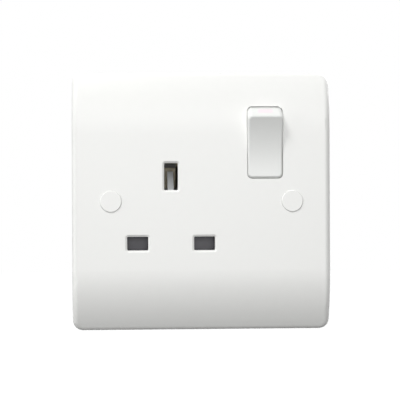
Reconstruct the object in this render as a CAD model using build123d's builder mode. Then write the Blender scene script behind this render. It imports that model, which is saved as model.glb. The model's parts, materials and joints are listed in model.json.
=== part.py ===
"""Single switched socket outlet for flat three-pin plugs: moulded plate, rocker switch, shutter and contacts.

Millimetres. X runs to the right and Z up, seen from the front. The origin is the centre of the plate's back,
in the plane of the wall. A level is a height in front of that plane: the front face is at a positive level,
and what lies inside the wall box is at a negative one.
"""

import os
from math import asin, atan, cos, degrees, radians, sin, sqrt, tan

from build123d import *

os.makedirs("parts", exist_ok=True)

# Plate
plate_width = 86.0
plate_height = 86.0
plate_level = 9.0
plate_edge_level = 4.4
plate_flat_half_height = 23.0
plate_corner_radius = 3.4
plate_edge_fillet = 1.9
front_wall = 2.6
skirt_wall = 2.4
rib_wall = 1.2
rib_reach = 12.0
rib_level = 2.8

# Pin slots, on the pitch of the flat three-pin plug
pin_pitch = 22.2
socket_center_x = -10.2
flat_pin_z = -14.0
flat_slot_width = 7.0
flat_slot_height = 4.6
earth_slot_width = 4.6
earth_slot_height = 9.0
slot_corner = 0.4
slot_mouth_width = 0.65
slot_mouth_depth = 0.35
slot_guide_wall = 1.2
slot_guide_level = 4.2

# Fixing screws and their cover caps
fixing_pitch = 60.3
fixing_hole_radius = 2.0
fixing_boss_radius = 5.4
screw_head_radius = 3.25
screw_head_seat_level = 3.6
cap_recess_radius = 3.65
cap_recess_depth = 1.3
cap_gap = 0.03
cap_proud = 0.3
cap_edge = 0.25
cap_skirt_wall = 0.8
cap_skirt_depth = 1.6

# Rocker
rocker_x = 21.1
rocker_z = 19.3
rocker_opening_width = 12.0
rocker_opening_height = 23.8
rocker_opening_corner = 1.7
rocker_side_gap = 0.1
rocker_end_gap = 0.42
rocker_pivot_depth = 5.5
rocker_swing = 10.0
rocker_ridge_proud = 2.0
rocker_dish = 1.1
rocker_wall = 1.6
rocker_ridge_fillet = 0.8
rocker_skirt_depth = 1.8
trunnion_radius = 1.8
trunnion_clearance = 0.05
trunnion_length = 2.0
cheek_wall = 2.6
cheek_half_height = 4.5
cheek_below_pivot = 3.4
cheek_slot_width = 3.2

# Base moulding behind the plate
base_width = 58.0
base_height = 64.0
base_level = 1.8
base_back_level = -16.5
base_corner_radius = 3.0
base_edge = 0.6
lug_notch_radius = 6.2
cell_side = 10.4
cell_floor_level = -12.8
earth_cell_floor_level = -14.8
strip_channel_gap = 0.3
rocker_clearance = 0.5
core_floor_level = -1.0
core_centers = [(-22.2, 13.8), (0.5, 6.8), (9.5, 6.8), (-10.2, -16.5), (13.2, -21.5)]
core_heights = [11.4, 26.6, 26.6, 20.0, 15.4]
core_width = 7.0

# Screws that hold the base to the plate
base_screw_points = [(-24.5, 25.0), (23.5, -22.0), (1.0, -27.0)]
base_screw_radius = 1.5
base_screw_length = 12.0
base_screw_head_radius = 2.7
base_screw_head = 1.8
base_screw_recess = 0.8
base_screw_seat_level = -7.0
base_screw_clearance = 0.2
base_pillar_radius = 3.2
thread_clearance = 0.05
pilot_depth = 3.6

# Shutter, its cam and its return spring
shutter_front_gap = 0.3
shutter_thickness = 1.7
shutter_travel = 6.0
shutter_overlap = 1.1
shutter_stem_width = 6.0
cam_width = 2.0
cam_top_z = 10.2
cam_top_level = -3.0
cam_bottom_z = 4.0
cam_thickness = 2.0
shutter_guide_wall = 1.2
shutter_guide_gap = 0.3
shutter_spring_wire = 0.25
shutter_spring_radius = 1.4
shutter_spring_turns = 6
shutter_spring_seat_z = -28.5
wire_sides = 6
spring_seat_wall = 1.8
spring_seat_width = 6.0
spring_seat_level = 4.8

# Contacts and bus strips
strip = 0.8
flat_jaw_width = 5.6
earth_jaw_width = 7.0
jaw_pinch_gap = 3.8
jaw_root_gap = 5.0
jaw_mouth_gap = 6.0
jaw_mouth_level = -0.8
jaw_pinch_level = -4.5
tab_width = 5.6
earth_tab_start = 13.0
bus_x = 15.6
bus_depth = 5.0
bus_bend_radius = 2.0

# Terminal blocks
terminal_width = 7.6
terminal_length = 8.0
terminal_depth = 6.6
terminal_wire_radius = 2.1
terminal_wire_depth = 2.9
terminal_screw_radius = 1.5
terminal_screw_head_radius = 2.5
terminal_screw_head = 1.5
terminal_screw_slot = 0.7
terminal_screw_lift = 0.3
terminal_pocket_gap = 0.3
earth_terminal_z = 26.0
neutral_terminal_z = -25.0
line_terminal_x = 8.0

# Switch mechanism under the rocker
hub_radius = 3.0
hub_depth = 3.0
plunger_radius = 1.6
plunger_clearance = 0.1
plunger_reach = 8.05
plunger_head_height = 0.8
plunger_spigot_radius = 0.8
plunger_spigot = 1.0
plunger_pocket_height = 4.6
rocker_spring_wire = 0.18
rocker_spring_radius = 1.25
rocker_spring_turns = 4
see_saw_swing = 9.0
see_saw_bend = 8.0
see_saw_reach = 9.0
see_saw_width = 5.0
see_saw_thickness = 1.2
see_saw_gap = 0.06
knife_length = 6.0
knife_clearance = 0.06
tip_radius = 1.5
tip_thickness = 0.8
tip_reach = 7.4
tip_gap = 0.06

# Values that follow from the ones above
earth_point = (socket_center_x, flat_pin_z + pin_pitch)
neutral_point = (socket_center_x - pin_pitch / 2, flat_pin_z)
live_point = (socket_center_x + pin_pitch / 2, flat_pin_z)
fixing_points = [(-fixing_pitch / 2, 0), (fixing_pitch / 2, 0)]
inner_level = plate_level - front_wall
into_wall = front_wall / 2
rocker_pivot_level = plate_level - rocker_pivot_depth
rocker_opening_radius = sqrt((rocker_opening_height / 2) ** 2 + rocker_pivot_depth**2)
rocker_pivot = (rocker_x, -rocker_pivot_level, rocker_z)
rocker_front = (0, -cos(radians(rocker_swing)), -sin(radians(rocker_swing)))
rocker_reach = rocker_opening_radius - rocker_end_gap
rocker_half_width = rocker_opening_width / 2 - rocker_side_gap
rocker_ridge_height = rocker_pivot_depth + rocker_ridge_proud
rocker_ridge_half = sqrt(rocker_reach**2 - rocker_ridge_height**2)
rocker_side = Plane(rocker_pivot, x_dir=rocker_front, z_dir=(-1, 0, 0))
rocker_face = Plane(rocker_pivot, x_dir=(1, 0, 0), z_dir=rocker_front)
knife_level = rocker_pivot_level - plunger_reach - see_saw_gap - see_saw_thickness
knife_point = (rocker_x, -knife_level, rocker_z)
see_saw_front = (0, -cos(radians(see_saw_swing)), sin(radians(see_saw_swing)))
see_saw_side = Plane(knife_point, x_dir=see_saw_front, z_dir=(-1, 0, 0))
see_saw_rise = tan(radians(see_saw_bend))
arm_lean = radians(see_saw_swing - see_saw_bend)
tip_point = see_saw_side.from_local_coords(Vector(tip_reach * see_saw_rise, tip_reach, 0))
fixed_tip_level = -tip_point.Y - tip_thickness - tip_gap
line_strip_level = fixed_tip_level - tip_thickness
terminal_front_level = line_strip_level - strip
terminal_back_level = terminal_front_level - terminal_depth
web_level = cell_floor_level + strip / 2
earth_web_level = earth_cell_floor_level + strip / 2
bus_z = flat_pin_z + (jaw_root_gap + strip) / 2
earth_terminal_point = (earth_point[0], earth_terminal_z)
neutral_terminal_point = (neutral_point[0], neutral_terminal_z)
line_terminal_point = (line_terminal_x, tip_point.Z)
terminal_points = [earth_terminal_point, neutral_terminal_point, line_terminal_point]
tab_half_width = (jaw_root_gap + strip) / 2
terminal_wire_level = terminal_front_level - terminal_wire_depth
shutter_front_level = slot_guide_level - shutter_front_gap
shutter_back_level = shutter_front_level - shutter_thickness
shutter_mid_level = (shutter_front_level + shutter_back_level) / 2
blade_height = flat_slot_height + 2 * shutter_overlap
blade_width = pin_pitch + flat_slot_width + 2 * shutter_overlap
blade_top = flat_pin_z + blade_height / 2
blade_bottom = flat_pin_z - blade_height / 2
cam_foot_z = cam_bottom_z - cam_thickness


def at_level(level):
    """The plane parallel to the wall at that level, facing the front."""
    return Plane.XZ.offset(level)


def dome_sketch(inset_front, inset_edge):
    """The plate's side view, inset from the outside: flat in the middle, with an arc down to top and bottom."""
    run = plate_height / 2 - plate_flat_half_height
    slope = 2 * atan((plate_level - plate_edge_level) / run)
    radius = run / sin(slope) - inset_front
    half = plate_height / 2 - inset_edge
    level = plate_level - inset_front
    turn = degrees(asin((half - plate_flat_half_height) / radius))
    with BuildSketch(Plane.YZ) as side:
        with BuildLine():
            top = CenterArc((radius - level, plate_flat_half_height), radius, 180, -turn)
            Line(top @ 1, (0, half))
            back = Line((0, half), (0, -half))
            bottom = CenterArc((radius - level, -plate_flat_half_height), radius, 180, turn)
            Line(back @ 1, bottom @ 1)
            Line(bottom @ 0, top @ 0)
        make_face()
    return side.sketch


def rocker_drum(side_inset, end_inset):
    """The round form that the rocker turns in, about its pivot: its opening, or the rocker inset by its gaps."""
    with BuildPart(Plane(rocker_pivot, x_dir=(0, 0, 1), z_dir=(1, 0, 0))) as drum:
        Cylinder(rocker_opening_radius - end_inset, rocker_opening_width - 2 * side_inset)
        fillet(drum.edges().filter_by(GeomType.CIRCLE), rocker_opening_corner - side_inset)
    return drum.part


def rocker_side_sketch(inset):
    """The rocker's side view before its ends are rounded, with the dished front lowered by the inset."""
    crest = rocker_ridge_height - inset
    with BuildSketch(rocker_side) as side:
        with BuildLine():
            ThreePointArc((crest, rocker_ridge_half), (crest - rocker_dish, 0), (crest, -rocker_ridge_half))
            Polyline(
                (crest, -rocker_ridge_half),
                (crest, -rocker_reach),
                (-rocker_skirt_depth, -rocker_reach),
                (-rocker_skirt_depth, rocker_reach),
                (crest, rocker_reach),
                (crest, rocker_ridge_half),
            )
        make_face()
    return side.sketch


def coil(start, wire_radius, coil_radius, length, turns):
    """A coil spring on the start plane, running along its normal, of wire drawn with a few flats."""
    height = length - 2 * wire_radius
    with BuildPart() as spring:
        with BuildLine(start.offset(wire_radius)) as path:
            Helix(height / turns, height, coil_radius, direction=start.z_dir)
        with BuildSketch(Plane(path.line @ 0, z_dir=path.line % 0)):
            RegularPolygon(wire_radius, wire_sides)
        sweep(is_frenet=True)
    return spring.part


def jaw_sketch(plane, center, web_level):
    """A pin clip seen along its jaws: a web at the back and two leaves that pinch the pin and flare at the mouth."""
    root = (jaw_root_gap + strip) / 2
    pinch = (jaw_pinch_gap + strip) / 2
    mouth = (jaw_mouth_gap + strip) / 2
    with BuildSketch(plane) as clip:
        with BuildLine():
            FilletPolyline(
                (center - mouth, jaw_mouth_level),
                (center - pinch, jaw_pinch_level),
                (center - root, web_level),
                (center + root, web_level),
                (center + pinch, jaw_pinch_level),
                (center + mouth, jaw_mouth_level),
                radius=strip,
            )
        trace(line_width=strip)
    return clip.sketch


def bus_sketch(level, width):
    """The way of the live strip, from its clip to the knife edge under the switch, as a band of that width."""
    with BuildSketch(at_level(level)) as way:
        with BuildLine():
            FilletPolyline(
                (live_point[0], bus_z),
                (bus_x, bus_z),
                (bus_x, rocker_z),
                (rocker_x + knife_length / 2, rocker_z),
                radius=bus_bend_radius,
            )
        trace(line_width=width)
    return way.sketch


# Front plate
with BuildPart() as plate_cavity:
    extrude(dome_sketch(front_wall, skirt_wall), amount=plate_width / 2 - skirt_wall, both=True)
    fillet(plate_cavity.edges().filter_by(Axis.Y), max(plate_corner_radius - skirt_wall, skirt_wall / 4))

with BuildPart() as front_plate:
    extrude(dome_sketch(0, 0), amount=plate_width / 2, both=True)
    fillet(front_plate.edges().filter_by(Axis.Y), plate_corner_radius)
    sides = front_plate.faces().filter_by(lambda face: abs(face.normal_at().Y) < 1e-3)
    rim = sides.edges().filter_by(Axis.Y, reverse=True).filter_by(lambda edge: edge.center().Y < -1e-3)
    fillet(rim, plate_edge_fillet)
    add(plate_cavity.part, mode=Mode.SUBTRACT)
    with BuildSketch(Plane.XZ):
        with Locations(*fixing_points):
            Circle(fixing_boss_radius)
    extrude(amount=inner_level + into_wall)
    with BuildSketch(at_level(rib_level)):
        with Locations(*fixing_points):
            Rectangle(rib_wall, 2 * rib_reach)
        rib_end = (plate_width - skirt_wall) / 2
        with Locations((-rib_end, 0)):
            Rectangle(rib_end - fixing_pitch / 2, rib_wall, align=(Align.MIN, Align.CENTER))
        with Locations((rib_end, 0)):
            Rectangle(rib_end - fixing_pitch / 2, rib_wall, align=(Align.MAX, Align.CENTER))
    extrude(amount=inner_level + into_wall - rib_level)
    with BuildSketch(at_level(base_level)):
        with Locations(*base_screw_points):
            Circle(base_pillar_radius)
    extrude(amount=inner_level + into_wall - base_level)
    with BuildSketch(at_level(slot_guide_level)):
        with Locations(neutral_point, live_point):
            Rectangle(flat_slot_width + 2 * slot_guide_wall, flat_slot_height + 2 * slot_guide_wall)
        with Locations(earth_point):
            Rectangle(earth_slot_width + 2 * slot_guide_wall, earth_slot_height + 2 * slot_guide_wall)
    extrude(amount=inner_level + into_wall - slot_guide_level)

    with BuildSketch(at_level(plate_level)):
        with Locations(neutral_point, live_point):
            RectangleRounded(flat_slot_width, flat_slot_height, slot_corner)
        with Locations(earth_point):
            RectangleRounded(earth_slot_width, earth_slot_height, slot_corner)
    extrude(amount=slot_guide_level - plate_level, mode=Mode.SUBTRACT)
    front_face = front_plate.faces().filter_by(Axis.Y).sort_by(Axis.Y)[0]
    slot_edges = front_face.inner_wires().edges()
    chamfer(slot_edges, slot_mouth_width, slot_mouth_depth, reference=front_face)
    with Locations(at_level(plate_level)):
        with Locations(*fixing_points):
            CounterBoreHole(fixing_hole_radius, screw_head_radius, plate_level - screw_head_seat_level)
            Hole(cap_recess_radius, cap_recess_depth)
    add(rocker_drum(0, 0), mode=Mode.SUBTRACT)
    for cheek_x in (rocker_x - rocker_opening_width / 2 - cheek_wall, rocker_x + rocker_opening_width / 2):
        with BuildSketch(Plane.YZ.offset(cheek_x)):
            with Locations((-rocker_pivot_level, rocker_z)):
                cheek_above_pivot = inner_level + into_wall - rocker_pivot_level
                Rectangle(cheek_above_pivot, 2 * cheek_half_height, align=(Align.MAX, Align.CENTER))
                Rectangle(cheek_below_pivot, 2 * cheek_half_height, align=(Align.MIN, Align.CENTER))
                Circle(trunnion_radius + trunnion_clearance, mode=Mode.SUBTRACT)
                Rectangle(
                    cheek_below_pivot, cheek_slot_width, align=(Align.MIN, Align.CENTER), mode=Mode.SUBTRACT
                )
        extrude(amount=cheek_wall)
    with BuildSketch(at_level(base_level)):
        with Locations(*base_screw_points):
            Circle(base_screw_radius + thread_clearance)
    extrude(amount=pilot_depth, mode=Mode.SUBTRACT)

front_plate.part.label = "front_plate"
export_step(front_plate.part, "parts/front_plate.step")

# Caps that press in over the two fixing screws
for cap_side, cap_point in (("left", fixing_points[0]), ("right", fixing_points[1])):
    with BuildPart(at_level(plate_level - cap_recess_depth)) as screw_cap:
        with Locations(cap_point):
            upward = (Align.CENTER, Align.CENTER, Align.MIN)
            downward = (Align.CENTER, Align.CENTER, Align.MAX)
            Cylinder(cap_recess_radius - cap_gap, cap_recess_depth + cap_proud, align=upward)
            Cylinder(screw_head_radius - cap_gap, cap_skirt_depth, align=downward)
            Cylinder(
                screw_head_radius - cap_gap - cap_skirt_wall, cap_skirt_depth, align=downward, mode=Mode.SUBTRACT
            )
        chamfer(screw_cap.edges().sort_by(Axis.Y)[0], cap_edge)
    screw_cap.part.label = "screw_cap_" + cap_side
    export_step(screw_cap.part, "parts/screw_cap_" + cap_side + ".step")

# Rocker, drawn in the on position with its top out
with BuildPart() as rocker_cavity:
    extrude(rocker_side_sketch(rocker_wall), amount=rocker_half_width - rocker_wall, both=True)
    with BuildSketch(rocker_side):
        Circle(rocker_reach - rocker_wall)
    extrude(amount=rocker_half_width, both=True, mode=Mode.INTERSECT)

with BuildPart() as rocker:
    extrude(rocker_side_sketch(0), amount=rocker_half_width, both=True)
    add(rocker_drum(rocker_side_gap, rocker_end_gap), mode=Mode.INTERSECT)
    dish = rocker.faces().filter_by(GeomType.CYLINDER).sort_by(SortBy.AREA)[-1]
    fillet(dish.edges(), rocker_ridge_fillet)
    add(rocker_cavity.part, mode=Mode.SUBTRACT)
    with BuildSketch(rocker_side):
        Circle(trunnion_radius)
    extrude(amount=rocker_half_width + trunnion_length, both=True)
    with BuildSketch(rocker_face.offset(-hub_depth)):
        Circle(hub_radius)
    extrude(amount=hub_depth + rocker_ridge_height - rocker_dish - rocker_wall / 2)
    with BuildSketch(rocker_face.offset(-hub_depth)):
        Circle(plunger_radius + plunger_clearance)
    extrude(amount=hub_depth + plunger_pocket_height, mode=Mode.SUBTRACT)

rocker.part.label = "rocker"
export_step(rocker.part, "parts/rocker.step")

# Sprung plunger in the rocker's hub
with BuildPart() as rocker_plunger:
    with BuildSketch(rocker_face.offset(plunger_radius - plunger_reach)):
        Circle(plunger_radius)
    extrude(amount=plunger_reach - plunger_radius + plunger_head_height)
    with BuildSketch(rocker_face.offset(plunger_head_height)):
        Circle(plunger_spigot_radius)
    extrude(amount=plunger_spigot)
    with Locations(rocker_face.offset(plunger_radius - plunger_reach)):
        Sphere(plunger_radius)

rocker_plunger.part.label = "rocker_plunger"
export_step(rocker_plunger.part, "parts/rocker_plunger.step")

rocker_spring = coil(
    rocker_face.offset(plunger_head_height),
    rocker_spring_wire,
    rocker_spring_radius,
    plunger_pocket_height - plunger_head_height,
    rocker_spring_turns,
)
rocker_spring.label = "rocker_spring"
export_step(rocker_spring, "parts/rocker_spring.step")

# Moving contact: a bent bar that rocks on the knife edge of the live strip
with BuildPart() as moving_contact:
    with BuildSketch(see_saw_side):
        with BuildLine():
            Polyline(
                (see_saw_thickness, 0),
                (see_saw_thickness + see_saw_reach * see_saw_rise, see_saw_reach),
                (see_saw_reach * see_saw_rise, see_saw_reach),
                (0, 0),
                (see_saw_reach * see_saw_rise, -see_saw_reach),
                (see_saw_thickness + see_saw_reach * see_saw_rise, -see_saw_reach),
                close=True,
            )
        make_face()
        Circle(strip / 2 + knife_clearance, mode=Mode.SUBTRACT)
    extrude(amount=see_saw_width / 2, both=True)

moving_contact.part.label = "moving_contact"
export_step(moving_contact.part, "parts/moving_contact.step")

with BuildPart(Plane(tip_point, x_dir=(1, 0, 0), z_dir=(0, -cos(arm_lean), sin(arm_lean)))) as moving_contact_tip:
    Cylinder(tip_radius, tip_thickness, align=(Align.CENTER, Align.CENTER, Align.MAX))

moving_contact_tip.part.label = "moving_contact_tip"
export_step(moving_contact_tip.part, "parts/moving_contact_tip.step")

with BuildPart(at_level(line_strip_level)) as fixed_contact_tip:
    with Locations((rocker_x, tip_point.Z)):
        Cylinder(tip_radius, tip_thickness, align=(Align.CENTER, Align.CENTER, Align.MIN))

fixed_contact_tip.part.label = "fixed_contact_tip"
export_step(fixed_contact_tip.part, "parts/fixed_contact_tip.step")

# Line strip, from the fixed contact to the line terminal
with BuildPart() as line_strip:
    with BuildSketch(at_level(line_strip_level)):
        strip_end = rocker_x + tab_width / 2
        strip_start = line_terminal_x - terminal_width / 2
        with Locations((strip_start, tip_point.Z)):
            Rectangle(strip_end - strip_start, tab_width, align=(Align.MIN, Align.CENTER))
    extrude(amount=-strip)

line_strip.part.label = "line_strip"
export_step(line_strip.part, "parts/line_strip.step")

# Live contact: the clip, a strip on edge and the knife edge that the moving contact rocks on
with BuildPart() as live_contact:
    live_side = Plane((live_point[0], 0, 0), x_dir=(0, 0, 1), z_dir=(1, 0, 0))
    extrude(jaw_sketch(live_side, flat_pin_z, web_level), amount=flat_jaw_width / 2, both=True)
    extrude(bus_sketch(cell_floor_level, strip), amount=bus_depth)
    with BuildSketch(at_level(cell_floor_level)):
        with Locations((rocker_x, rocker_z)):
            Rectangle(knife_length, strip)
    extrude(amount=knife_level - cell_floor_level)
    with Locations(Plane(knife_point, x_dir=(0, 0, 1), z_dir=(1, 0, 0))):
        Cylinder(strip / 2, knife_length)

live_contact.part.label = "live_contact"
export_step(live_contact.part, "parts/live_contact.step")

# Neutral contact: the clip and a tab to its terminal
with BuildPart() as neutral_contact:
    neutral_side = Plane((neutral_point[0], 0, 0), x_dir=(0, 0, 1), z_dir=(1, 0, 0))
    extrude(jaw_sketch(neutral_side, flat_pin_z, web_level), amount=flat_jaw_width / 2, both=True)
    with BuildSketch(at_level(line_strip_level)):
        tab_start = flat_pin_z - jaw_root_gap / 2
        tab_end = neutral_terminal_z - terminal_length / 2
        with Locations((neutral_point[0], tab_start)):
            Rectangle(tab_width, tab_start - tab_end, align=(Align.CENTER, Align.MAX))
    extrude(amount=-strip)

neutral_contact.part.label = "neutral_contact"
export_step(neutral_contact.part, "parts/neutral_contact.step")

# Earth contact: the clip and a forked tab to its terminal
with BuildPart() as earth_contact:
    earth_side = Plane((0, 0, earth_point[1]), x_dir=(1, 0, 0), z_dir=(0, 0, -1))
    extrude(jaw_sketch(earth_side, earth_point[0], earth_web_level), amount=earth_jaw_width / 2, both=True)
    with BuildSketch(at_level(line_strip_level)):
        fork_start = earth_point[1] + earth_jaw_width / 2 - strip
        fork_end = earth_terminal_z + terminal_length / 2
        with Locations((earth_point[0], fork_start)):
            Rectangle(2 * tab_half_width, fork_end - fork_start, align=(Align.CENTER, Align.MIN))
            Rectangle(
                2 * (tab_half_width - strip),
                earth_tab_start - fork_start,
                align=(Align.CENTER, Align.MIN),
                mode=Mode.SUBTRACT,
            )
    extrude(amount=-strip)

earth_contact.part.label = "earth_contact"
export_step(earth_contact.part, "parts/earth_contact.step")

# Terminal blocks, each with a bore for the wires and a screw hole from the back
for terminal_name, terminal_point in zip(("earth", "neutral", "line"), terminal_points):
    with BuildPart() as terminal:
        with BuildSketch(at_level(terminal_back_level)):
            with Locations(terminal_point):
                Rectangle(terminal_width, terminal_length)
        extrude(amount=terminal_depth)
        with BuildSketch(at_level(terminal_back_level)):
            with Locations(terminal_point):
                Circle(terminal_screw_radius + thread_clearance)
        extrude(amount=terminal_wire_level - terminal_back_level, mode=Mode.SUBTRACT)
        with Locations((terminal_point[0], -terminal_wire_level, terminal_point[1])):
            Cylinder(terminal_wire_radius, terminal_length, mode=Mode.SUBTRACT)
    terminal.part.label = terminal_name + "_terminal"
    export_step(terminal.part, "parts/" + terminal_name + "_terminal.step")

with BuildPart() as terminal_screws:
    screw_head_level = terminal_back_level - terminal_screw_lift
    with BuildSketch(at_level(screw_head_level)):
        with Locations(*terminal_points):
            Circle(terminal_screw_radius)
    extrude(amount=terminal_wire_level - terminal_wire_radius - screw_head_level)
    with BuildSketch(at_level(screw_head_level)):
        with Locations(*terminal_points):
            Circle(terminal_screw_head_radius)
    extrude(amount=-terminal_screw_head)
    with BuildSketch(at_level(screw_head_level - terminal_screw_head)):
        with Locations(*terminal_points):
            Rectangle(2 * terminal_screw_head_radius, terminal_screw_slot)
    extrude(amount=terminal_screw_slot, mode=Mode.SUBTRACT)

terminal_screws.part.label = "terminal_screws"
export_step(terminal_screws.part, "parts/terminal_screws.step")

# Base moulding with its cells, strip channels and terminal pockets
with BuildPart() as base:
    with BuildSketch(at_level(base_back_level)):
        RectangleRounded(base_width, base_height, base_corner_radius)
        with Locations(*fixing_points):
            Circle(lug_notch_radius, mode=Mode.SUBTRACT)
    extrude(amount=base_level - base_back_level)
    chamfer(base.faces().sort_by(Axis.Y)[-1].outer_wire().edges(), base_edge)
    with BuildSketch(at_level(base_level)):
        with Locations(neutral_point, live_point):
            Rectangle(cell_side, cell_side)
        with Locations((rocker_x, rocker_z)):
            switch_cell_width = rocker_opening_width + 2 * rocker_clearance
            Rectangle(switch_cell_width, rocker_reach, align=(Align.CENTER, Align.MAX))
            Rectangle(
                switch_cell_width,
                tip_point.Z - tab_width / 2 - strip_channel_gap - rocker_z,
                align=(Align.CENTER, Align.MIN),
            )
    extrude(amount=cell_floor_level - base_level, mode=Mode.SUBTRACT)
    bus_channel = bus_sketch(base_level, strip + 2 * strip_channel_gap)
    extrude(bus_channel, amount=cell_floor_level - base_level, mode=Mode.SUBTRACT)
    with BuildSketch(at_level(base_level)):
        with Locations(earth_point):
            Rectangle(cell_side, cell_side)
    extrude(amount=earth_cell_floor_level - base_level, mode=Mode.SUBTRACT)
    with BuildSketch(at_level(base_level)):
        with Locations(earth_point):
            Rectangle(
                2 * (tab_half_width + strip_channel_gap),
                fork_end + strip_channel_gap - earth_point[1],
                align=(Align.CENTER, Align.MIN),
            )
        with Locations(neutral_point):
            Rectangle(
                tab_width + 2 * strip_channel_gap,
                neutral_point[1] - tab_end + strip_channel_gap,
                align=(Align.CENTER, Align.MAX),
            )
        with Locations((strip_start - strip_channel_gap, tip_point.Z)):
            Rectangle(
                strip_end - strip_start + 2 * strip_channel_gap,
                tab_width + 2 * strip_channel_gap,
                align=(Align.MIN, Align.CENTER),
            )
    extrude(amount=terminal_front_level - base_level, mode=Mode.SUBTRACT)
    with BuildSketch(at_level(base_back_level)):
        pocket_width = terminal_width + 2 * terminal_pocket_gap
        for pocket_point in (earth_terminal_point, line_terminal_point):
            pocket_start = pocket_point[1] - terminal_length / 2 - terminal_pocket_gap
            with Locations((pocket_point[0], pocket_start)):
                Rectangle(pocket_width, base_height / 2 - pocket_start, align=(Align.CENTER, Align.MIN))
        neutral_pocket_start = neutral_terminal_z + terminal_length / 2 + terminal_pocket_gap
        with Locations((neutral_point[0], neutral_pocket_start)):
            Rectangle(pocket_width, base_height / 2 + neutral_pocket_start, align=(Align.CENTER, Align.MAX))
    extrude(amount=terminal_front_level - base_back_level, mode=Mode.SUBTRACT)
    with BuildSketch(at_level(base_level)):
        with Locations((rocker_x, rocker_z)):
            Rectangle(switch_cell_width, 2 * (rocker_reach + rocker_clearance))
    skirt_turn = asin(rocker_skirt_depth / rocker_reach) + radians(rocker_swing)
    rocker_swept_level = rocker_pivot_level - rocker_reach * sin(skirt_turn)
    extrude(amount=rocker_swept_level - rocker_clearance - base_level, mode=Mode.SUBTRACT)
    with BuildSketch(at_level(base_level)):
        with Locations((rocker_x, rocker_z)):
            Rectangle(switch_cell_width + 2 * cheek_wall, 2 * (cheek_half_height + rocker_clearance))
    cheek_end_level = rocker_pivot_level - cheek_below_pivot
    extrude(amount=cheek_end_level - rocker_clearance - base_level, mode=Mode.SUBTRACT)
    with BuildSketch(at_level(base_level)):
        cam_slot_bottom = cam_foot_z - shutter_travel - rocker_clearance
        with Locations((socket_center_x, cam_slot_bottom)):
            Rectangle(
                cam_width + 2 * rocker_clearance, earth_point[1] - cam_slot_bottom, align=(Align.CENTER, Align.MIN)
            )
    extrude(amount=cam_top_level - rocker_clearance - base_level, mode=Mode.SUBTRACT)
    spring_reach = shutter_spring_radius + shutter_spring_wire + shutter_guide_gap
    with BuildSketch(at_level(base_level)):
        with Locations((socket_center_x, shutter_spring_seat_z)):
            Rectangle(2 * spring_reach, flat_pin_z - shutter_spring_seat_z, align=(Align.CENTER, Align.MIN))
    extrude(amount=shutter_mid_level - spring_reach - base_level, mode=Mode.SUBTRACT)
    with BuildSketch(at_level(base_level)):
        with Locations((socket_center_x, shutter_spring_seat_z)):
            Rectangle(spring_seat_width, spring_seat_wall, align=(Align.CENTER, Align.MAX))
    extrude(amount=spring_seat_level - base_level)
    with BuildSketch(at_level(base_level)):
        guide_offset = shutter_stem_width / 2 + shutter_guide_gap + shutter_guide_wall / 2
        guide_start = blade_top + shutter_guide_gap
        for guide_x in (socket_center_x - guide_offset, socket_center_x + guide_offset):
            with Locations((guide_x, guide_start)):
                Rectangle(shutter_guide_wall, -guide_start, align=(Align.CENTER, Align.MIN))
    extrude(amount=shutter_front_level - base_level)
    with BuildSketch(at_level(base_back_level)):
        for core_center, core_height in zip(core_centers, core_heights):
            with Locations(core_center):
                Rectangle(core_width, core_height)
    extrude(amount=core_floor_level - base_back_level, mode=Mode.SUBTRACT)
    with Locations(Plane.XZ.offset(base_back_level).rotated((180, 0, 0))):
        with Locations(*[(x, -z) for x, z in base_screw_points]):
            CounterBoreHole(
                base_screw_radius + base_screw_clearance,
                base_screw_head_radius + base_screw_clearance,
                base_screw_seat_level - base_back_level,
            )

base.part.label = "base"
export_step(base.part, "parts/base.step")

# Screws from the back of the base into the plate's pillars
with BuildPart() as base_screws:
    with BuildSketch(at_level(base_screw_seat_level)):
        with Locations(*base_screw_points):
            Circle(base_screw_radius)
    extrude(amount=base_screw_length)
    with BuildSketch(at_level(base_screw_seat_level)):
        with Locations(*base_screw_points):
            Circle(base_screw_head_radius)
    extrude(amount=-base_screw_head)
    with BuildSketch(at_level(base_screw_seat_level - base_screw_head)):
        with Locations(*base_screw_points):
            Rectangle(2 * base_screw_radius, base_screw_recess)
            Rectangle(base_screw_recess, 2 * base_screw_radius)
    extrude(amount=base_screw_recess, mode=Mode.SUBTRACT)

base_screws.part.label = "base_screws"
export_step(base_screws.part, "parts/base_screws.step")

# Shutter: one blade across both flat pins, on a stem, and the cam above it that the earth pin drives
with BuildPart() as shutter:
    with BuildSketch(at_level(shutter_back_level)):
        with Locations((socket_center_x, flat_pin_z)):
            Rectangle(blade_width, blade_height)
        with Locations((socket_center_x, flat_pin_z)):
            Rectangle(shutter_stem_width, cam_foot_z - flat_pin_z, align=(Align.CENTER, Align.MIN))
    extrude(amount=shutter_thickness)

shutter.part.label = "shutter"
export_step(shutter.part, "parts/shutter.step")

with BuildPart() as shutter_cam:
    with BuildSketch(Plane.YZ.offset(socket_center_x)):
        with BuildLine():
            Polyline(
                (-shutter_front_level, cam_bottom_z),
                (-cam_top_level, cam_top_z),
                (-cam_top_level, cam_top_z - cam_thickness),
                (-shutter_back_level, cam_foot_z),
                (-shutter_front_level, cam_foot_z),
                close=True,
            )
        make_face()
    extrude(amount=cam_width / 2, both=True)

shutter_cam.part.label = "shutter_cam"
export_step(shutter_cam.part, "parts/shutter_cam.step")

shutter_spring_seat = (socket_center_x, -shutter_mid_level, shutter_spring_seat_z)
shutter_spring = coil(
    Plane(shutter_spring_seat, x_dir=(1, 0, 0), z_dir=(0, 0, 1)),
    shutter_spring_wire,
    shutter_spring_radius,
    blade_bottom - shutter_spring_seat_z,
    shutter_spring_turns,
)
shutter_spring.label = "shutter_spring"
export_step(shutter_spring, "parts/shutter_spring.step")
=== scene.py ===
"""Switched socket outlet, seen nearly straight on against white, as a product photograph shows it."""

import json
from math import atan, cos, radians, sin

import bpy
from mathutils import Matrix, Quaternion, Vector

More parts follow.
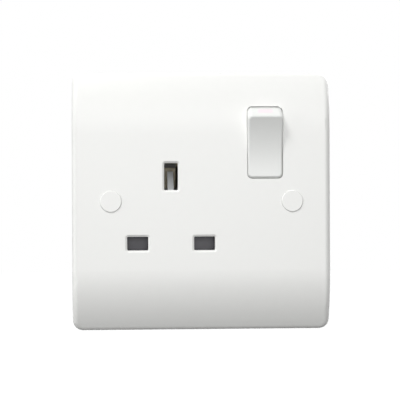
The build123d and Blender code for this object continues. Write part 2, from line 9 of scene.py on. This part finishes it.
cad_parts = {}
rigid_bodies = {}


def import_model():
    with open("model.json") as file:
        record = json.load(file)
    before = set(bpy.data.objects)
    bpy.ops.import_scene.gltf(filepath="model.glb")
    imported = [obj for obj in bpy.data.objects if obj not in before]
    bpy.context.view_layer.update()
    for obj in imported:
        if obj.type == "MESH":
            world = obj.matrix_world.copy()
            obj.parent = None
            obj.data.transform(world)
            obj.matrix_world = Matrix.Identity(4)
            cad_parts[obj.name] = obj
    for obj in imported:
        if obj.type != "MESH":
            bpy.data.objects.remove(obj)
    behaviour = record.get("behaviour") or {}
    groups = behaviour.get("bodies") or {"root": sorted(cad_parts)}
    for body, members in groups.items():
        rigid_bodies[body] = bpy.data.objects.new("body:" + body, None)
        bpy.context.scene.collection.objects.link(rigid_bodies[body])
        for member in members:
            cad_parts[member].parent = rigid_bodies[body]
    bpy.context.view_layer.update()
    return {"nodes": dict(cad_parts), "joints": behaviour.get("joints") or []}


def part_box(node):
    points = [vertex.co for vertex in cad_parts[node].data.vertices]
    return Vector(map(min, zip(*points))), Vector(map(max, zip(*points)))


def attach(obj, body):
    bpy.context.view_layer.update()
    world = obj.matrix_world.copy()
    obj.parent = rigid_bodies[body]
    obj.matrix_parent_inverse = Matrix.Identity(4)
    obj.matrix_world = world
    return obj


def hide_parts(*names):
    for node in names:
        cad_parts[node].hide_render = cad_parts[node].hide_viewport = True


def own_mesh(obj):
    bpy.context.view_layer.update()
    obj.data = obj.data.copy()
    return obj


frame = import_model()
nodes = frame["nodes"]
joints = {joint["name"]: joint for joint in frame["joints"]}
scene = bpy.context.scene

# Places taken from the frame, in metres
plate_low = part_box("front_plate")[0]
plate_middle = Vector((0.0, plate_low.y, 0.0))
rocker_pivot = Vector(joints["rocker_tilt"]["pos_m"])

# Surfaces: spots of colour and grain as noise scales per metre, and the depth of each kind of grain in metres
mottle_scale = 400.0
mottle_detail = 4.0
mottle_dark_end = 0.3
mottle_light_end = 0.7
grain_scale = 2500.0
grain_detail = 3.0
roughness_spread = 0.08
polished_grain = 0.000006
plain_grain = 0.00002
rolled_grain = 0.00003
coarse_grain = 0.00004

# Faint red mark on the rocker's upper end, which shows that it is on
mark_width = 0.0049
mark_low_z = 0.0292
mark_high_z = 0.0305
mark_soft = 0.0005
mark_color = (0.86, 0.75, 0.795)

# Camera: a little to the left of straight on, at the distance of a small product table
camera_distance = 0.4
camera_azimuth = -3.0
camera_roll = -0.22
camera_near_clip = 0.01
frame_width_at_plate = 0.1326
sensor_width = 36.0
image_side = 400
plate_center_px = (201.9, 201.2)

# Light: soft lamps above on the left, beside the camera, close by on the left and behind, and a pale surround
lamp_distance = 0.85
lamp_size = 0.6
key_elevation = 56.0
key_azimuth = -40.0
key_power = 4.22
key_size = 0.3
fill_elevation = 9.0
fill_azimuth = 3.0
fill_power = 3.36
side_elevation = 0.0
side_azimuth = -75.0
side_power = 0.49
side_distance = 0.45
side_size = 0.3
back_elevation = 32.0
back_azimuth = 132.0
back_power = 4.6
surround_strength = 0.3

# Stage: the floor lies well below the part, which hangs on a wall in use, and fades to white away from it
floor_drop = 0.157
floor_size = 6.0
floor_bounce = 0.02
floor_tone = 0.6
floor_lift_near = 0.3
floor_lift_far = 0.83
floor_near = 0.25
floor_far = 0.6


def link_chain(tree, *steps):
    """Joins (node, output, node, input) steps in a node tree."""
    for source, output, target, entry in steps:
        tree.links.new(source.outputs[output], target.inputs[entry])


def math_node(tree, operation):
    """A math node that does that operation."""
    node = tree.nodes.new("ShaderNodeMath")
    node.operation = operation
    return node


def color_socket(sockets, name):
    """The colour socket of that name, on a node that has it once for each kind of value."""
    return next(socket for socket in sockets if socket.name == name and socket.type == "RGBA")


def surface_material(name, color, roughness, mottle, metallic=0.0, grain=plain_grain):
    """A moulded or metal surface: its colour varies a little, its gloss a little more, over a fine grain."""
    material = bpy.data.materials.new(name)
    material.use_nodes = True
    tree = material.node_tree
    shader = tree.nodes["Principled BSDF"]
    shader.inputs["Metallic"].default_value = metallic
    place = tree.nodes.new("ShaderNodeTexCoord")

    cloud = tree.nodes.new("ShaderNodeTexNoise")
    cloud.inputs["Scale"].default_value = mottle_scale
    cloud.inputs["Detail"].default_value = mottle_detail
    tint = tree.nodes.new("ShaderNodeValToRGB")
    tint.color_ramp.elements[0].position = mottle_dark_end
    tint.color_ramp.elements[1].position = mottle_light_end
    tint.color_ramp.elements[0].color = (*[channel * (1.0 - mottle) for channel in color], 1.0)
    tint.color_ramp.elements[1].color = (*color, 1.0)
    gloss = tree.nodes.new("ShaderNodeMapRange")
    gloss.inputs["To Min"].default_value = roughness - roughness_spread / 2
    gloss.inputs["To Max"].default_value = roughness + roughness_spread / 2

    fine = tree.nodes.new("ShaderNodeTexNoise")
    fine.inputs["Scale"].default_value = grain_scale
    fine.inputs["Detail"].default_value = grain_detail
    bump = tree.nodes.new("ShaderNodeBump")
    bump.inputs["Distance"].default_value = grain

    link_chain(
        tree,
        (place, "Object", cloud, "Vector"),
        (cloud, "Fac", tint, "Fac"),
        (tint, "Color", shader, "Base Color"),
        (cloud, "Fac", gloss, "Value"),
        (gloss, "Result", shader, "Roughness"),
        (place, "Object", fine, "Vector"),
        (fine, "Fac", bump, "Height"),
        (bump, "Normal", shader, "Normal"),
    )
    return material


def soft_band(tree, split, axis, low, high):
    """A node that is 1 between two places along an axis, and fades to 0 over the mark's soft edge."""
    half = (high - low) / 2
    offset = math_node(tree, "SUBTRACT")
    offset.inputs[1].default_value = (low + high) / 2
    away = math_node(tree, "ABSOLUTE")
    band = tree.nodes.new("ShaderNodeMapRange")
    band.interpolation_type = "SMOOTHSTEP"
    band.inputs["From Min"].default_value = half + mark_soft
    band.inputs["From Max"].default_value = half - mark_soft
    link_chain(tree, (split, axis, offset, 0), (offset, "Value", away, 0), (away, "Value", band, "Value"))
    return band


def add_mark(material):
    """Prints the rocker's soft-edged bar over a material, across the mark's width and between its heights."""
    tree = material.node_tree
    shader = tree.nodes["Principled BSDF"]
    plain = shader.inputs["Base Color"].links[0].from_socket
    place = tree.nodes.new("ShaderNodeTexCoord")
    split = tree.nodes.new("ShaderNodeSeparateXYZ")
    across = soft_band(tree, split, "X", rocker_pivot.x - mark_width / 2, rocker_pivot.x + mark_width / 2)
    upward = soft_band(tree, split, "Z", mark_low_z, mark_high_z)
    both = math_node(tree, "MULTIPLY")
    mix = tree.nodes.new("ShaderNodeMix")
    mix.data_type = "RGBA"
    color_socket(mix.inputs, "B").default_value = (*mark_color, 1.0)
    link_chain(
        tree,
        (place, "Object", split, "Vector"),
        (across, "Result", both, 0),
        (upward, "Result", both, 1),
        (both, "Value", mix, "Factor"),
    )
    tree.links.new(plain, color_socket(mix.inputs, "A"))
    tree.links.new(color_socket(mix.outputs, "Result"), shader.inputs["Base Color"])


def dress(material, *names):
    """Gives the material to the CAD nodes of those names."""
    for name in names:
        mesh = nodes[name].data
        mesh.materials.clear()
        mesh.materials.append(material)


def add_spring(name, node, slide, material):
    """A copy of a CAD spring in that material, fixed to the parent body of its slide, in place of the CAD
    spring.
    """
    joint = joints[slide]
    mesh = nodes[node].data.copy()
    mesh.materials.clear()
    mesh.materials.append(material)
    spring = bpy.data.objects.new(name, mesh)
    scene.collection.objects.link(spring)
    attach(spring, joint["parent"])
    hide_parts(node)
    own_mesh(spring)


def background_rays(tree):
    """A node that is 1 for rays that show the background: from the camera, mirrored or through glass."""
    rays = tree.nodes.new("ShaderNodeLightPath")
    seen = math_node(tree, "MAXIMUM")
    seen_through = math_node(tree, "MAXIMUM")
    link_chain(
        tree,
        (rays, "Is Camera Ray", seen, 0),
        (rays, "Is Glossy Ray", seen, 1),
        (seen, "Value", seen_through, 0),
        (rays, "Is Transmission Ray", seen_through, 1),
    )
    return seen_through


def floor_surface():
    """Pale where it is seen, with its shadow and a lift to white further out, and dim for all other light."""
    material = bpy.data.materials.new("floor")
    material.use_nodes = True
    tree = material.node_tree
    tree.nodes.clear()
    output = tree.nodes.new("ShaderNodeOutputMaterial")
    dim = tree.nodes.new("ShaderNodeBsdfDiffuse")
    dim.inputs["Color"].default_value = (floor_bounce, floor_bounce, floor_bounce, 1.0)
    pale = tree.nodes.new("ShaderNodeBsdfDiffuse")
    pale.inputs["Color"].default_value = (floor_tone, floor_tone, floor_tone, 1.0)
    lift = tree.nodes.new("ShaderNodeEmission")
    lifted = tree.nodes.new("ShaderNodeAddShader")
    choice = tree.nodes.new("ShaderNodeMixShader")
    place = tree.nodes.new("ShaderNodeTexCoord")
    reach = tree.nodes.new("ShaderNodeVectorMath")
    reach.operation = "LENGTH"
    fade = tree.nodes.new("ShaderNodeMapRange")
    fade.inputs["From Min"].default_value = floor_near
    fade.inputs["From Max"].default_value = floor_far
    fade.inputs["To Min"].default_value = floor_lift_near
    fade.inputs["To Max"].default_value = floor_lift_far
    link_chain(
        tree,
        (place, "Object", reach, "Vector"),
        (reach, "Value", fade, "Value"),
        (fade, "Result", lift, "Strength"),
        (background_rays(tree), "Value", choice, "Fac"),
        (dim, "BSDF", choice, 1),
        (pale, "BSDF", lifted, 0),
        (lift, "Emission", lifted, 1),
        (lifted, "Shader", choice, 2),
        (choice, "Shader", output, "Surface"),
    )
    return material


def add_floor():
    """A square floor below the part."""
    mesh = bpy.data.meshes.new("floor")
    half = floor_size / 2
    z = plate_low.z - floor_drop
    corners = [(-half, -half, z), (half, -half, z), (half, half, z), (-half, half, z)]
    mesh.from_pydata(corners, [], [(0, 1, 2, 3)])
    mesh.materials.append(floor_surface())
    floor = bpy.data.objects.new("floor", mesh)
    scene.collection.objects.link(floor)


def add_world():
    """A surround that is white where it is seen, and a weaker light on everything else."""
    world = bpy.data.worlds.new("studio")
    scene.world = world
    world.use_nodes = True
    tree = world.node_tree
    tree.nodes.clear()
    output = tree.nodes.new("ShaderNodeOutputWorld")
    sky = tree.nodes.new("ShaderNodeBackground")
    sky.inputs["Color"].default_value = (1.0, 1.0, 1.0, 1.0)
    strength = tree.nodes.new("ShaderNodeMapRange")
    strength.inputs["To Min"].default_value = surround_strength
    strength.inputs["To Max"].default_value = 1.0
    link_chain(
        tree,
        (background_rays(tree), "Value", strength, "Value"),
        (strength, "Result", sky, "Strength"),
        (sky, "Background", output, "Surface"),
    )


def add_lamp(name, azimuth, elevation, power, distance=lamp_distance, size=lamp_size):
    """A soft round lamp at that bearing from the plate's middle, turned to it."""
    data = bpy.data.lights.new(name, "AREA")
    data.shape = "DISK"
    data.size = size
    data.energy = power
    lamp = bpy.data.objects.new(name, data)
    along = distance * cos(radians(elevation))
    height = distance * sin(radians(elevation))
    bearing = Vector((along * sin(radians(azimuth)), -along * cos(radians(azimuth)), height))
    lamp.location = plate_middle + bearing
    lamp.rotation_mode = "QUATERNION"
    lamp.rotation_quaternion = (-bearing).to_track_quat("-Z", "Y")
    scene.collection.objects.link(lamp)


def add_camera():
    """The camera, level with the plate's middle, framed and rolled as the photograph is."""
    data = bpy.data.cameras.new("camera")
    data.sensor_width = sensor_width
    data.sensor_fit = "HORIZONTAL"
    data.angle = 2 * atan(frame_width_at_plate / 2 / camera_distance)
    data.shift_x = -(plate_center_px[0] - image_side / 2) / image_side
    data.shift_y = (plate_center_px[1] - image_side / 2) / image_side
    data.clip_start = camera_near_clip
    camera = bpy.data.objects.new("camera", data)
    gaze = Vector((-sin(radians(camera_azimuth)), cos(radians(camera_azimuth)), 0.0))
    roll = Quaternion((0.0, 0.0, 1.0), radians(camera_roll))
    camera.location = plate_middle - camera_distance * gaze
    camera.rotation_mode = "QUATERNION"
    camera.rotation_quaternion = gaze.to_track_quat("-Z", "Y") @ roll
    scene.collection.objects.link(camera)
    scene.camera = camera


# Plastics
white = surface_material("white_moulding", (0.855, 0.858, 0.838), 0.34, mottle=0.008, grain=polished_grain)
# The rocker's white is a darker copy of the plate's white, set darker to paint shade onto the rocker's dished
# face
rocker_white_painted_shade = surface_material(
    "rocker_moulding", (0.805, 0.815, 0.797), 0.34, mottle=0.008, grain=polished_grain
)
base_grey = surface_material("base_moulding", (0.50, 0.50, 0.49), 0.5, mottle=0.08, grain=coarse_grain)
shutter_dark = surface_material("shutter_moulding", (0.044, 0.0425, 0.051), 0.5, mottle=0.1)
cam_pale = surface_material("cam_moulding", (0.72, 0.74, 0.75), 0.35, mottle=0.03)
acetal = surface_material("plunger_moulding", (0.72, 0.70, 0.64), 0.4, mottle=0.04)
add_mark(rocker_white_painted_shade)

# Metals
strip_brass = surface_material(
    "contact_brass", (0.32, 0.29, 0.225), 0.42, mottle=0.22, metallic=1.0, grain=rolled_grain
)
block_brass = surface_material(
    "terminal_brass", (0.72, 0.53, 0.23), 0.28, mottle=0.14, metallic=1.0, grain=rolled_grain
)
silver = surface_material("contact_tip", (0.80, 0.80, 0.78), 0.3, mottle=0.1, metallic=1.0)
zinc = surface_material("screw_steel", (0.58, 0.58, 0.55), 0.3, mottle=0.16, metallic=1.0)
wire = surface_material("spring_steel", (0.44, 0.44, 0.46), 0.3, mottle=0.15, metallic=1.0)

# The part
dress(white, "front_plate", "screw_cap_left", "screw_cap_right")
dress(rocker_white_painted_shade, "rocker")
dress(base_grey, "base")
dress(shutter_dark, "shutter")
dress(cam_pale, "shutter_cam")
dress(acetal, "rocker_plunger")
dress(strip_brass, "earth_contact", "neutral_contact", "live_contact", "line_strip", "moving_contact")
dress(block_brass, "earth_terminal", "neutral_terminal", "line_terminal")
dress(silver, "fixed_contact_tip", "moving_contact_tip")
dress(zinc, "terminal_screws", "base_screws")
add_spring("plunger_coil", "rocker_spring", "plunger_slide", wire)
add_spring("shutter_coil", "shutter_spring", "shutter_slide", wire)

# Stage, light and camera
add_floor()
add_world()
add_lamp("key", key_azimuth, key_elevation, key_power, size=key_size)
add_lamp("fill", fill_azimuth, fill_elevation, fill_power)
add_lamp("side", side_azimuth, side_elevation, side_power, distance=side_distance, size=side_size)
add_lamp("back", back_azimuth, back_elevation, back_power)
add_camera()
scene.view_settings.view_transform = "Standard"
